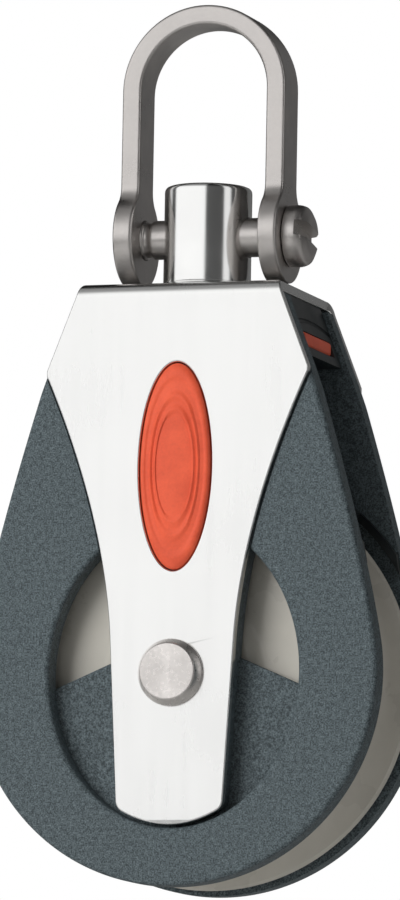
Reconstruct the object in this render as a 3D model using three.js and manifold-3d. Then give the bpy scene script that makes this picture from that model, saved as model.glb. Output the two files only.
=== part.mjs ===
// Single-sheave block with a lockable swivel head and a screw-pin shackle.
// Millimetres, +Z up. The origin is where the shackle bow bears on whatever it hangs from:
// the middle of the inside of its crown. The sheave turns about Y and the head swivels about Z.

import * as THREE from 'three';
import { mergeVertices } from 'three/addons/utils/BufferGeometryUtils.js';
import Module from 'manifold-3d';

const wasm = await Module();
wasm.setup();

// Clearances.
const seatGap = 0.06; // between faces that rest on each other
const fitGap = 0.1; // radial, round a pin, an axle or a ball track
const slideGap = 0.15; // round the lock slider
const pocketGap = 0.35; // round the strap's legs in the cheeks' pockets
const overshoot = 1; // how far a cutting tool runs past the face it opens

// Sheave and its ball bearing.
const sheaveRadius = 31.4;
const sheaveWidth = 15.8;
const grooveDepth = 6.1; // rim to the bottom of the rope groove
const flangeTip = 0.96; // thickness of each flange at the rim
const rimEase = 0.4;
const dishDepth = 0.8;
const dishInset = 2.6; // from the rim to the outer edge of the dished side
const dishRamp = 2.2;
const hubLand = 1.1; // flat ring between the ball track and the dished side
const ballRadius = 1.6;
const ballsPerRow = 14;
const ballSpace = 0.3; // between neighbouring balls of a row
const ribHalf = 1.35; // half the rib that keeps the two rows apart
const ribDepth = 2.1; // how far the rib stands into the ball track
const retainerWidth = 2.4;
const washerThickness = 0.45;

// Cheeks.
const cheekGap = 1.7; // sheave side to the inner face of a cheek
const cheekThickness = 3.66;
const cheekOverhang = 0.7; // beyond the sheave's rim
const cheekTangent = 10; // degrees above level where the round foot ends
const cheekBulge = 14; // how far the foot's tangent runs into the curved side
const cheekTopHalf = 21.95; // half width at the top corner
const cheekTopDrop = 3.2; // top corner below the top of the strap's shoulder
const windowHalfWidth = 19.8;
const windowHalfHeight = 23.3;
const floorRecess = 3.4; // from the cheek's face down to the window's floor
const floorThickness = 1.3;
const floorLap = 1.5; // how far the floor laps behind the window's edge
const floorShoulder = -1.85; // height of the floor's top edge at the window's side
const floorRise = 0.43; // slope of that edge towards the middle

// Strap.
const strapThickness = 1.5;
const strapProud = 0.62; // beyond the cheek's face
const strapBend = 0.5; // inside radius of the two bends at the top
const strapTopHalf = 15.6;
const strapShoulderHalf = 20.8;
const strapShoulderFlat = 0.8;
const strapShoulderDrop = 2.4; // the shoulder's top below the head's side face
const strapSlope = 0.45; // lean of the edge just below the shoulder
const strapWaistHalf = 9.9;
const strapWaistHeight = 5.8; // above the axle
const strapWaistShare = 0.457; // from the waist to the shoulder, where the edge's curve is steepest
const strapFootHalf = 8.5;
const strapFootInset = 2.9; // foot corner above the window's lower edge
const strapFootBelly = 2.2;
const strapFootEase = 1.2;

// Badges let into the strap.
const badgeHalfWidth = 5.6;
const badgeHalfHeight = 15.7;
const badgeHeight = 31.3; // above the axle
const badgeEdge = 1.7; // height of the badge's rim above its seat
const badgeDome = 0.55;
const badgeGap = 0.2;

// Axle.
const axleRadius = 3.5;
const axleHeadRadius = 5.1;
const axleFaceRadius = 4.3;
const axleHeadHeight = 2.1;
const rivetRadius = 2.5;
const rivetLength = 1.1;

// Head block.
const throatGap = 2; // sheave's rim to the arch over it
const archThickness = 1.2;
const archEnd = 49; // degrees above level where the full width of the arch stops
const railEnd = 30; // degrees above level where the two rails beside the rope stop
const railTaper = 5; // degrees that a rail's outer face stops short of its inner one
const railWidth = 1.2;
const recessHeight = 14; // arch to the underside of the head's side face
const columnHalf = 9.6;
const slotLip = 1.4;
const roofHeight = 5.46;
const headInset = 0.8; // side face behind the strap's edge
const headGap = 0.1; // head block to each cheek
const dowelRadius = 1.5;
const dowelOffset = 11.4;
const dowelDrop = 2.7; // below the head block's top

// Lock slider.
const sliderThickness = 2.2;
const sliderTravel = 3.6;
const sliderReach = 18; // free end from the middle when fully out
const sliderEndHalf = 7;
const sliderRail = 1.9; // beside the round part of the keyhole
const sliderBodyLength = 21.2;
const keyFlats = 8.4; // across the flats of the square that it locks

// Swivel.
const postRadius = 6.7;
const postHeight = 15.74;
const postEase = 0.9;
const neckRadius = 4;
const studRadius = 3;
const nutFlangeRadius = 7;
const nutFlangeThickness = 2.8;
const nutBossHeight = 7;
const thrustThickness = 1;
const postWasherThickness = 0.4;
const studTail = 0.6;
const nutWellGap = 0.5;

// Shackle.
const pinHeight = 8.44; // pin above the strap's top
const pinRadius = 3;
const pinHeadRadius = 4.75;
const pinHeadLength = 3.7;
const pinHeadFlat = 2.8; // radius of the flat middle of the head's end
const pinHeadDome = 1.1; // depth of the rounding outside that flat
const pinSlotWidth = 2.4;
const pinSlotDepth = 1.7;
const pinSlotTurn = 80; // degrees from upright
const barThickness = 3.05;
const barWidth = 7;
const bowHalf = 13.1; // outside half width
const bowReach = 32.75; // pin to the inside of the crown
const earRadius = 7.2;

// Facets of round shapes.
const fine = 40;
const medium = 28;
const coarse = 16;
const curveSteps = 8;
const domeSteps = 4;

// Places across the block, measured from its middle plane.
const sheaveSide = sheaveWidth / 2;
const cheekInner = sheaveSide + cheekGap;
const cheekOuter = cheekInner + cheekThickness;
const strapOuter = cheekOuter + strapProud;
const strapInner = strapOuter - strapThickness;
const pocketFloor = strapInner - seatGap;
const floorOuter = cheekOuter - floorRecess;
const floorInner = floorOuter - floorThickness;
const washerOuter = floorInner - seatGap;
const washerInner = washerOuter - washerThickness;
const hubHalf = floorInner - fitGap;
const headHalf = cheekInner - headGap;

// Heights, measured from the axle.
const throatRadius = sheaveRadius + throatGap;
const archRadius = throatRadius + archThickness;
const headBase = archRadius + recessHeight;
const slotBase = headBase + slotLip;
const slotTop = slotBase + sliderThickness + 2 * slideGap;
const headTop = slotTop + roofHeight;
const strapUnderside = headTop + seatGap;
const strapTop = strapUnderside + strapThickness;
const shoulderTop = headBase - strapShoulderDrop;
const shoulderFoot = shoulderTop - strapShoulderFlat;
const cheekCorner = shoulderTop - cheekTopDrop;
const cheekTop = strapUnderside - strapBend;
const strapFoot = -windowHalfHeight + strapFootInset;
const pinLevel = strapTop + pinHeight;
const postBase = strapTop + postWasherThickness + 2 * seatGap;
const thrustTop = strapUnderside - seatGap;
const nutTop = thrustTop - thrustThickness - seatGap;
const bossTop = nutTop - nutFlangeThickness;
const bossFoot = bossTop - nutBossHeight;
const hangHeight = pinLevel + bowReach;

// Radii of the bearing, from the hub outwards.
const cheekRadius = sheaveRadius + cheekOverhang;
const ballPitch = (ballRadius + ballSpace / 2) / Math.sin(Math.PI / ballsPerRow);
const hubRadius = ballPitch - ballRadius - fitGap / 2;
const trackRadius = ballPitch + ballRadius + fitGap / 2;
const ballOffset = ribHalf + fitGap + ballRadius;
const retainerInner = ballOffset + ballRadius + fitGap;
const retainerOuter = retainerInner + retainerWidth;

// Lock slider and the square that it holds.
const keyFree = keyFlats / Math.SQRT2 + slideGap;
const keyHeld = keyFlats / 2 + slideGap;
const sliderBodyHalf = keyFree + sliderRail;

const finishes = {
  polishedSteel: { color: 0xdadbd8, roughness: 0.18, metalness: 1 },
  satinSteel: { color: 0xb9b3ad, roughness: 0.35, metalness: 1 },
  slateNylon: { color: 0x4b555a, roughness: 0.6, metalness: 0 },
  blackNylon: { color: 0x1d2122, roughness: 0.55, metalness: 0 },
  creamAcetal: { color: 0xd9d4c6, roughness: 0.35, metalness: 0 },
  whiteAcetal: { color: 0xf0eee8, roughness: 0.3, metalness: 0 },
  redPlastic: { color: 0xe2502f, roughness: 0.4, metalness: 0 },
};

function radians(degrees) {
  return THREE.MathUtils.degToRad(degrees);
}

// Radius of the regular polygon that clears a round piece of the given radius.
function around(radius, facets) {
  return radius / Math.cos(Math.PI / facets);
}

function solid(geometry) {
  const bare = geometry.clone();
  bare.deleteAttribute('normal');
  bare.deleteAttribute('uv');
  const merged = mergeVertices(bare, 1e-4);
  const index = merged.index.array;
  const triangles = [];
  for (let i = 0; i < index.length; i += 3) {
    const [a, b, c] = index.slice(i, i + 3);
    if (a !== b && b !== c && c !== a) triangles.push(a, b, c);
  }
  return new wasm.Manifold(new wasm.Mesh({
    numProp: 3,
    vertProperties: merged.attributes.position.array,
    triVerts: new Uint32Array(triangles),
  }));
}

function piece(name, body, finish) {
  const mesh = body.getMesh();
  const geometry = new THREE.BufferGeometry();
  geometry.setAttribute('position', new THREE.BufferAttribute(mesh.vertProperties, 3));
  geometry.setIndex(new THREE.BufferAttribute(mesh.triVerts, 1));
  geometry.computeVertexNormals();
  const result = new THREE.Mesh(geometry, new THREE.MeshStandardMaterial(finishes[finish]));
  result.name = name;
  return result;
}

// A shape drawn in X and Z, extruded along Y.
function slab(shape, from, to) {
  const options = { depth: to - from, bevelEnabled: false, curveSegments: curveSteps };
  return solid(new THREE.ExtrudeGeometry(shape, options).rotateX(Math.PI / 2).translate(0, to, 0));
}

// A shape drawn in X and Y, extruded along Z.
function plate(shape, from, to) {
  const options = { depth: to - from, bevelEnabled: false, curveSegments: curveSteps };
  return solid(new THREE.ExtrudeGeometry(shape, options).translate(0, 0, from));
}

// A closed profile of [radius, distance along the axis], turned about Y.
function turnedGeometry(profile, facets) {
  const points = profile.map(([radius, along]) => new THREE.Vector2(radius, along));
  points.push(points[0].clone());
  return new THREE.LatheGeometry(points, facets);
}

function turnedY(profile, facets) {
  return solid(turnedGeometry(profile, facets));
}

function turnedZ(profile, facets) {
  return solid(turnedGeometry(profile, facets).rotateX(Math.PI / 2));
}

function turnedX(profile, facets) {
  return solid(turnedGeometry(profile, facets).rotateZ(-Math.PI / 2));
}

// Profile of a plain ring or, with no inner radius, of a plain round bar.
function ring(inner, outer, from, to) {
  return [[inner, from], [outer, from], [outer, to], [inner, to]];
}

function ellipse(halfWidth, halfHeight, height, steps) {
  const shape = new THREE.Shape();
  const turn = 2 * Math.PI / steps;
  for (let i = 0; i < steps; i += 1) {
    const x = halfWidth * Math.cos(i * turn);
    const z = height + halfHeight * Math.sin(i * turn);
    if (i === 0) shape.moveTo(x, z);
    else shape.lineTo(x, z);
  }
  return shape;
}

function polygon(corners) {
  return new THREE.Shape(corners.map(([x, y]) => new THREE.Vector2(x, y)));
}

function rectangle(left, right, low, high) {
  return polygon([[left, low], [right, low], [right, high], [left, high]]);
}

// Half width of the strap's sloping head at a height above the shoulder.
function strapHalfAt(height) {
  const share = (height - shoulderTop) / (strapTop - shoulderTop);
  return THREE.MathUtils.lerp(strapShoulderHalf, strapTopHalf, share);
}

// Outline of one leg of the strap, grown all round by a margin.
function strapOutline(margin) {
  const shape = new THREE.Shape();
  const waist = strapWaistHalf + margin;
  const shoulder = strapShoulderHalf + margin;
  const foot = strapFootHalf + margin;
  const bendHeight = THREE.MathUtils.lerp(strapWaistHeight, shoulderFoot, strapWaistShare);
  const bendHalf = shoulder - strapSlope * (shoulderFoot - bendHeight);
  const low = strapFoot - margin;
  shape.moveTo(-strapTopHalf - margin, strapTop + margin);
  shape.lineTo(-shoulder, shoulderTop);
  shape.lineTo(-shoulder, shoulderFoot);
  shape.quadraticCurveTo(-bendHalf, bendHeight, -waist, strapWaistHeight);
  shape.lineTo(-foot, low + strapFootEase);
  shape.quadraticCurveTo(-foot, low, -foot + strapFootEase, low - strapFootEase / 2);
  shape.quadraticCurveTo(0, low - 2 * strapFootBelly, foot - strapFootEase, low - strapFootEase / 2);
  shape.quadraticCurveTo(foot, low, foot, low + strapFootEase);
  shape.lineTo(waist, strapWaistHeight);
  shape.quadraticCurveTo(bendHalf, bendHeight, shoulder, shoulderFoot);
  shape.lineTo(shoulder, shoulderTop);
  shape.lineTo(strapTopHalf + margin, strapTop + margin);
  return shape;
}

// The folded sheet seen from the side: two legs and the top between them.
function strapFold() {
  const low = strapFoot - 2 * strapFootBelly - overshoot;
  const outerBend = strapBend + strapThickness;
  const shape = new THREE.Shape();
  shape.moveTo(-strapOuter, low);
  shape.lineTo(-strapInner, low);
  shape.lineTo(-strapInner, strapUnderside - strapBend);
  shape.absarc(strapBend - strapInner, strapUnderside - strapBend, strapBend, Math.PI, Math.PI / 2, true);
  shape.absarc(strapInner - strapBend, strapUnderside - strapBend, strapBend, Math.PI / 2, 0, true);
  shape.lineTo(strapInner, low);
  shape.lineTo(strapOuter, low);
  shape.absarc(strapOuter - outerBend, strapTop - outerBend, outerBend, 0, Math.PI / 2, false);
  shape.absarc(outerBend - strapOuter, strapTop - outerBend, outerBend, Math.PI / 2, Math.PI, false);
  return shape;
}

function makeStrap() {
  const length = 2 * strapShoulderHalf + 2 * overshoot;
  const options = { depth: length, bevelEnabled: false, curveSegments: 6 };
  // The fold is drawn with across-the-block to the right and height upwards.
  const fold = new THREE.ExtrudeGeometry(strapFold(), options);
  fold.rotateX(Math.PI / 2).rotateZ(Math.PI / 2).translate(-length / 2, 0, 0);
  const through = strapOuter + overshoot;
  const bore = around(axleRadius + fitGap, fine);
  const neckBore = around(neckRadius + fitGap, fine);
  const badge = ellipse(badgeHalfWidth + badgeGap, badgeHalfHeight + badgeGap, badgeHeight, fine);
  return solid(fold)
    .intersect(slab(strapOutline(0), -through, through))
    .subtract(turnedY(ring(0, bore, -through, through), fine))
    .subtract(slab(badge, -through, through))
    .subtract(turnedZ(ring(0, neckBore, strapUnderside - overshoot, strapTop + overshoot), fine));
}

function cheekOutline() {
  const tangent = radians(cheekTangent);
  const footX = cheekRadius * Math.cos(tangent);
  const footZ = cheekRadius * Math.sin(tangent);
  const bulgeX = footX - cheekBulge * Math.sin(tangent);
  const bulgeZ = footZ + cheekBulge * Math.cos(tangent);
  const topHalf = strapHalfAt(cheekTop);
  const shape = new THREE.Shape();
  shape.moveTo(cheekTopHalf, cheekCorner);
  shape.quadraticCurveTo(bulgeX, bulgeZ, footX, footZ);
  shape.absarc(0, 0, cheekRadius, tangent, Math.PI - tangent, true);
  shape.quadraticCurveTo(-bulgeX, bulgeZ, -cheekTopHalf, cheekCorner);
  shape.lineTo(-strapShoulderHalf, shoulderTop);
  shape.lineTo(-topHalf, cheekTop);
  shape.lineTo(topHalf, cheekTop);
  shape.lineTo(strapShoulderHalf, shoulderTop);
  return shape;
}

// The floor of the window: the lower part of an ellipse under a shallow ridge.
function windowFloor(from, to) {
  const halfWidth = windowHalfWidth + floorLap;
  const halfHeight = windowHalfHeight + floorLap;
  const edge = floorShoulder - floorRise * floorLap;
  const ridge = floorShoulder + floorRise * windowHalfWidth;
  const below = polygon([
    [-halfWidth - overshoot, -halfHeight - overshoot],
    [halfWidth + overshoot, -halfHeight - overshoot],
    [halfWidth + overshoot, edge],
    [0, ridge],
    [-halfWidth - overshoot, edge],
  ]);
  return slab(ellipse(halfWidth, halfHeight, 0, fine), from, to).intersect(slab(below, from, to));
}

// The rear cheek, on the +Y side. It carries the strap in a shallow pocket.
function makeCheek() {
  const window = ellipse(windowHalfWidth, windowHalfHeight, 0, fine);
  const lapped = ellipse(windowHalfWidth + floorLap, windowHalfHeight + floorLap, 0, fine);
  const bridge = slab(lapped, floorInner, pocketFloor).intersect(
    slab(strapOutline(-2 * slideGap), floorInner, pocketFloor));
  const bore = around(axleRadius + fitGap, fine);
  const through = cheekOuter + overshoot;
  let cheek = slab(cheekOutline(), cheekInner, cheekOuter)
    .subtract(slab(window, cheekInner - overshoot, through))
    .add(windowFloor(floorInner, floorOuter))
    .add(bridge)
    .subtract(slab(strapOutline(pocketGap), pocketFloor, through))
    .subtract(turnedY(ring(0, bore, 0, through), fine));
  for (const side of [-1, 1]) {
    cheek = cheek.subtract(dowelBar(dowelRadius + fitGap, cheekInner - overshoot, dowelReach(), side));
  }
  return cheek;
}

function dowelReach() {
  return pocketFloor - strapThickness / 2;
}

// A round bar along Y at one of the two dowels that line the cheeks up with the head block.
function dowelBar(radius, from, to, side) {
  const bar = turnedY(ring(0, around(radius, coarse), from, to), coarse);
  return bar.translate([side * dowelOffset, 0, headTop - dowelDrop]);
}

function headOutline() {
  const innerEnd = radians(railEnd);
  const outerEnd = radians(railEnd + railTaper);
  const topHalf = strapHalfAt(headTop) - headInset;
  const baseHalf = strapHalfAt(headBase) - headInset;
  const columnTurn = Math.acos(columnHalf / archRadius);
  const shape = new THREE.Shape();
  shape.moveTo(topHalf, headTop);
  shape.lineTo(-topHalf, headTop);
  shape.lineTo(-baseHalf, headBase);
  shape.lineTo(-columnHalf, headBase);
  shape.absarc(0, 0, archRadius, Math.PI - columnTurn, Math.PI - outerEnd, false);
  shape.absarc(0, 0, throatRadius, Math.PI - innerEnd, innerEnd, true);
  shape.absarc(0, 0, archRadius, outerEnd, columnTurn, false);
  shape.lineTo(columnHalf, headBase);
  shape.lineTo(baseHalf, headBase);
  return shape;
}

// Opens the arch between its two rails, below the end of its full width.
function ropeGap() {
  const end = radians(archEnd);
  const reach = archRadius + overshoot;
  const half = headHalf - railWidth;
  const tipX = reach * Math.cos(end);
  const tipZ = reach * Math.sin(end);
  return slab(polygon([[0, 0], [reach, 0], [reach, tipZ], [tipX, tipZ]]), -half, half)
    .add(slab(polygon([[0, 0], [-tipX, tipZ], [-reach, tipZ], [-reach, 0]]), -half, half));
}

function makeHeadBlock() {
  const well = around(nutFlangeRadius + nutWellGap, fine);
  const endHalf = sliderEndHalf + slideGap;
  const bodyHalf = sliderBodyHalf + slideGap;
  const stop = sliderBodyLength / 2 + sliderTravel / 2 + slideGap;
  const reach = strapShoulderHalf + overshoot;
  let head = slab(headOutline(), -headHalf, headHalf)
    .subtract(ropeGap())
    .subtract(turnedZ(ring(0, well, throatRadius - overshoot, headTop + overshoot), fine))
    .subtract(plate(rectangle(-reach, reach, -endHalf, endHalf), slotBase, slotTop))
    .subtract(plate(rectangle(-stop, stop, -bodyHalf, bodyHalf), slotBase, slotTop));
  const through = headHalf + overshoot;
  for (const side of [-1, 1]) {
    head = head.subtract(dowelBar(dowelRadius + fitGap, -through, through, side));
  }
  return head;
}

function makeDowel(side) {
  const half = dowelReach() - fitGap;
  const bar = turnedY(ring(0, dowelRadius, -half, half), coarse);
  return bar.translate([side * dowelOffset, 0, headTop - dowelDrop]);
}

// A flat plate with a keyhole: the round part lets the square turn, the narrow part holds it.
function makeLockSlider() {
  const centre = sliderTravel / 2;
  const near = centre - sliderReach + sliderTravel / 2;
  const far = sliderReach;
  const bodyNear = centre - sliderBodyLength / 2;
  const bodyFar = centre + sliderBodyLength / 2;
  const shape = polygon([
    [near, -sliderEndHalf], [bodyNear, -sliderEndHalf], [bodyNear, -sliderBodyHalf],
    [bodyFar, -sliderBodyHalf], [bodyFar, -sliderEndHalf], [far, -sliderEndHalf],
    [far, sliderEndHalf], [bodyFar, sliderEndHalf], [bodyFar, sliderBodyHalf],
    [bodyNear, sliderBodyHalf], [bodyNear, sliderEndHalf], [near, sliderEndHalf],
  ]);
  const low = slotBase + slideGap;
  const high = low + sliderThickness;
  const free = around(keyFree, medium);
  const slot = rectangle(0, sliderTravel + keyHeld, -keyHeld, keyHeld);
  const keyhole = turnedZ(ring(0, free, low - overshoot, high + overshoot), medium)
    .add(plate(slot, low - overshoot, high + overshoot));
  return plate(shape, low, high).subtract(keyhole);
}

function makeSwivelPost() {
  const top = postBase + postHeight;
  const neckFoot = nutTop + seatGap;
  const body = turnedZ([
    [0, bossFoot - studTail], [studRadius, bossFoot - studTail],
    [studRadius, neckFoot], [neckRadius, neckFoot],
    [neckRadius, postBase], [postRadius, postBase],
    [postRadius, top - postEase], [postRadius - postEase, top], [0, top],
  ], fine);
  const hole = around(pinRadius + fitGap, medium);
  const reach = postRadius + overshoot;
  return body.subtract(turnedX(ring(0, hole, -reach, reach), medium).translate([0, 0, pinLevel]));
}

function makeSwivelNut() {
  const half = keyFlats / 2;
  const bore = around(studRadius + fitGap, medium);
  return turnedZ(ring(0, nutFlangeRadius, bossTop, nutTop), fine)
    .add(plate(rectangle(-half, half, -half, half), bossFoot, bossTop + seatGap))
    .subtract(turnedZ(ring(0, bore, bossFoot - overshoot, nutTop + overshoot), medium));
}

function makeSheave() {
  const track = around(trackRadius, fine);
  const dishOuter = sheaveRadius - dishInset;
  const dishInner = track + hubLand;
  const dished = sheaveSide - dishDepth;
  // The groove is an arc through both lips and the root.
  const lipHalf = sheaveSide - flangeTip;
  const grooveRadius = (lipHalf ** 2 + grooveDepth ** 2) / (2 * grooveDepth);
  const grooveCentre = sheaveRadius - grooveDepth + grooveRadius;
  const lipTurn = Math.atan2(lipHalf, grooveCentre - sheaveRadius);
  const profile = [
    [track, -sheaveSide], [dishInner, -sheaveSide], [dishInner + dishRamp, -dished],
    [dishOuter - dishRamp, -dished], [dishOuter, -sheaveSide],
    [sheaveRadius - rimEase, -sheaveSide], [sheaveRadius, rimEase - sheaveSide],
  ];
  for (let i = 0; i <= curveSteps; i += 1) {
    const turn = THREE.MathUtils.lerp(-lipTurn, lipTurn, i / curveSteps);
    profile.push([grooveCentre - grooveRadius * Math.cos(turn), grooveRadius * Math.sin(turn)]);
  }
  profile.push(
    [sheaveRadius, sheaveSide - rimEase], [sheaveRadius - rimEase, sheaveSide],
    [dishOuter, sheaveSide], [dishOuter - dishRamp, dished],
    [dishInner + dishRamp, dished], [dishInner, sheaveSide], [track, sheaveSide],
    [track, ribHalf], [track - ribDepth, ribHalf], [track - ribDepth, -ribHalf], [track, -ribHalf],
  );
  return turnedY(profile, fine);
}

function makeRetainer(side) {
  const from = side * retainerInner;
  const to = side * retainerOuter;
  const inner = around(hubRadius + 2 * fitGap, medium);
  return turnedY(ring(inner, trackRadius - fitGap, Math.min(from, to), Math.max(from, to)), medium);
}

function makeBall(row, number) {
  const turn = 2 * Math.PI * (number + (row > 0 ? 0.5 : 0)) / ballsPerRow;
  const ball = new THREE.IcosahedronGeometry(ballRadius, 1);
  ball.translate(ballPitch * Math.cos(turn), row * ballOffset, ballPitch * Math.sin(turn));
  return solid(ball);
}

function makeHub() {
  const bore = around(axleRadius + fitGap, medium);
  return turnedY(ring(bore, hubRadius, -hubHalf, hubHalf), medium);
}

function makeSideWasher(side) {
  const from = side * washerInner;
  const to = side * washerOuter;
  const inner = around(hubRadius + fitGap, medium);
  return turnedY(ring(inner, trackRadius, Math.min(from, to), Math.max(from, to)), medium);
}

// The head is on the front; the rear end is turned down to take the cap.
function makeAxle() {
  const seat = strapOuter + seatGap;
  const ease = axleHeadRadius - axleFaceRadius;
  return turnedY([
    [0, -seat - axleHeadHeight], [axleFaceRadius, -seat - axleHeadHeight],
    [axleHeadRadius, ease - seat - axleHeadHeight], [axleHeadRadius, -seat],
    [axleRadius, -seat], [axleRadius, strapOuter],
    [rivetRadius, strapOuter], [rivetRadius, strapOuter + rivetLength], [0, strapOuter + rivetLength],
  ], medium);
}

function makeAxleCap() {
  const seat = strapOuter + seatGap;
  const ease = axleHeadRadius - axleFaceRadius;
  const bore = around(rivetRadius + fitGap, coarse);
  const socket = turnedY(ring(0, bore, seat - overshoot, strapOuter + rivetLength + fitGap), coarse);
  return turnedY([
    [0, seat], [axleHeadRadius, seat], [axleHeadRadius, seat + axleHeadHeight - ease],
    [axleFaceRadius, seat + axleHeadHeight], [0, seat + axleHeadHeight],
  ], medium).subtract(socket);
}

// An oval insert with a domed face, seated on the floor of the cheek's pocket.
function makeBadge() {
  const profile = [[0, 0], [1, 0], [1, badgeEdge]];
  for (let i = 1; i <= domeSteps; i += 1) {
    const turn = i * Math.PI / 2 / domeSteps;
    profile.push([i === domeSteps ? 0 : Math.cos(turn), badgeEdge + badgeDome * Math.sin(turn)]);
  }
  const dome = turnedGeometry(profile, fine);
  dome.scale(badgeHalfWidth, 1, badgeHalfHeight);
  dome.translate(0, pocketFloor + seatGap, badgeHeight);
  return solid(dome);
}

// The bow seen from the front: down the outside of one leg, over the crown and back inside.
function bowOutline() {
  const inHalf = bowHalf - barThickness;
  const spring = bowReach - inHalf;
  const shape = new THREE.Shape();
  shape.moveTo(bowHalf, 0);
  shape.absarc(0, spring, bowHalf, 0, Math.PI, false);
  shape.lineTo(-bowHalf, 0);
  shape.lineTo(-inHalf, 0);
  shape.absarc(0, spring, inHalf, Math.PI, 0, true);
  shape.lineTo(inHalf, 0);
  return shape;
}

function makeBow() {
  const inner = bowHalf - barThickness;
  const hole = around(pinRadius + fitGap, medium);
  const reach = bowHalf + overshoot;
  const options = { depth: barWidth, bevelEnabled: false, curveSegments: 2 * curveSteps };
  const bar = new THREE.ExtrudeGeometry(bowOutline(), options);
  bar.rotateX(Math.PI / 2).translate(0, barWidth / 2, 0);
  return solid(bar)
    .add(turnedX(ring(0, earRadius, inner, bowHalf), fine))
    .add(turnedX(ring(0, earRadius, -bowHalf, -inner), fine))
    .subtract(turnedX(ring(0, hole, -reach, reach), medium));
}

// The pin's head is on the +X side and has a driver slot.
function makeShacklePin() {
  const seat = bowHalf + seatGap;
  const tip = seatGap - bowHalf;
  const crown = seat + pinHeadLength;
  const profile = [[0, tip], [pinRadius, tip], [pinRadius, seat], [pinHeadRadius, seat]];
  for (let i = 0; i <= domeSteps; i += 1) {
    const turn = i * Math.PI / 2 / domeSteps;
    const across = pinHeadFlat + (pinHeadRadius - pinHeadFlat) * Math.cos(turn);
    profile.push([across, crown - pinHeadDome * (1 - Math.sin(turn))]);
  }
  profile.push([0, crown]);
  const cut = new THREE.BoxGeometry(2 * pinSlotDepth, pinSlotWidth, 2 * pinHeadRadius + overshoot);
  cut.rotateX(radians(pinSlotTurn)).translate(crown, 0, 0);
  return turnedX(profile, medium).subtract(solid(cut));
}

function mirrored(body) {
  return body.mirror([0, 1, 0]);
}

function addShackle(parent) {
  const shackle = new THREE.Group();
  shackle.position.z = -bowReach;
  shackle.add(piece('shackle_bow', makeBow(), 'satinSteel'));
  shackle.add(piece('shackle_pin', makeShacklePin(), 'satinSteel'));
  parent.add(shackle);
}

function addSwivel(block) {
  const bore = around(neckRadius + fitGap, medium);
  const washerBase = strapTop + seatGap;
  const washer = ring(bore, postRadius - postEase, washerBase, washerBase + postWasherThickness);
  const thrust = ring(bore, nutFlangeRadius, thrustTop - thrustThickness, thrustTop);
  block.add(piece('swivel_post', makeSwivelPost(), 'polishedSteel'));
  block.add(piece('swivel_nut', makeSwivelNut(), 'satinSteel'));
  block.add(piece('post_washer', turnedZ(washer, medium), 'whiteAcetal'));
  block.add(piece('thrust_washer', turnedZ(thrust, medium), 'whiteAcetal'));
}

function addFrame(block) {
  block.add(piece('strap', makeStrap(), 'polishedSteel'));
  block.add(piece('front_cheek', mirrored(makeCheek()), 'slateNylon'));
  block.add(piece('rear_cheek', makeCheek(), 'slateNylon'));
  block.add(piece('head_block', makeHeadBlock(), 'blackNylon'));
  block.add(piece('cheek_dowel_left', makeDowel(-1), 'satinSteel'));
  block.add(piece('cheek_dowel_right', makeDowel(1), 'satinSteel'));
  block.add(piece('front_badge', mirrored(makeBadge()), 'redPlastic'));
  block.add(piece('rear_badge', makeBadge(), 'redPlastic'));
  block.add(piece('lock_slider', makeLockSlider(), 'redPlastic'));
}

function addBearing(block) {
  block.add(piece('axle', makeAxle(), 'satinSteel'));
  block.add(piece('axle_cap', makeAxleCap(), 'satinSteel'));
  block.add(piece('hub_sleeve', makeHub(), 'satinSteel'));
  block.add(piece('front_side_washer', makeSideWasher(-1), 'whiteAcetal'));
  block.add(piece('rear_side_washer', makeSideWasher(1), 'whiteAcetal'));
  block.add(piece('sheave', makeSheave(), 'creamAcetal'));
  block.add(piece('front_ball_retainer', makeRetainer(-1), 'creamAcetal'));
  block.add(piece('rear_ball_retainer', makeRetainer(1), 'creamAcetal'));
  for (const [row, side] of [['front', -1], ['rear', 1]]) {
    for (let i = 0; i < ballsPerRow; i += 1) {
      const name = `ball_${row}_${String(i + 1).padStart(2, '0')}`;
      block.add(piece(name, makeBall(side, i), 'whiteAcetal'));
    }
  }
}

const object = new THREE.Group();
const block = new THREE.Group();
block.position.z = -hangHeight;
addShackle(object);
addSwivel(block);
addFrame(block);
addBearing(block);
object.add(block);

export default object;
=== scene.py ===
"""Finished look of a swivel head rope block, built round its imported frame.

Everything is in metres in the frame's own axes: X runs along the shackle pin, Y along the
sheave's axle with the front at -Y, and Z is up from the point where the shackle bow hangs.
"""

import math

import bmesh
import bpy
from bpy.props import FloatProperty, FloatVectorProperty, PointerProperty
from mathutils import Matrix, Vector


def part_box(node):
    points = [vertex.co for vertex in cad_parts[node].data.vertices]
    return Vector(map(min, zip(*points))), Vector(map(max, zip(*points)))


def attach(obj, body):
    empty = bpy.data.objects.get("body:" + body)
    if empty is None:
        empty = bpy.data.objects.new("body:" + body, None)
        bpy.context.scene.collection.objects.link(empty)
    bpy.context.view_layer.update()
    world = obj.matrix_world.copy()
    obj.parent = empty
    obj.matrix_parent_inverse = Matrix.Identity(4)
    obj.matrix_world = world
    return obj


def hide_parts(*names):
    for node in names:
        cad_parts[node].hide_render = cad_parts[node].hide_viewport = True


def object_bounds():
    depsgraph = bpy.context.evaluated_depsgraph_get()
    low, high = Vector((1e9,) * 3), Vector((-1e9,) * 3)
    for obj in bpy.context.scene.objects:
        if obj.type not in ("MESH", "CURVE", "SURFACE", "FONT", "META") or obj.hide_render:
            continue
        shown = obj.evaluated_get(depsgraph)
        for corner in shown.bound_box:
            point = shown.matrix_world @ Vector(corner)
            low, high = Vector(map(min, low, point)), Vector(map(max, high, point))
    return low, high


bl_info = {
    "name": "Rope Block Finish",
    "version": (1, 0, 0),
    "blender": (4, 5, 0),
    "location": "3D Viewport > Sidebar > Rope Block",
    "description": "Builds the finished pieces and materials of a swivel head rope block",
    "category": "Object",
}

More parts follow.
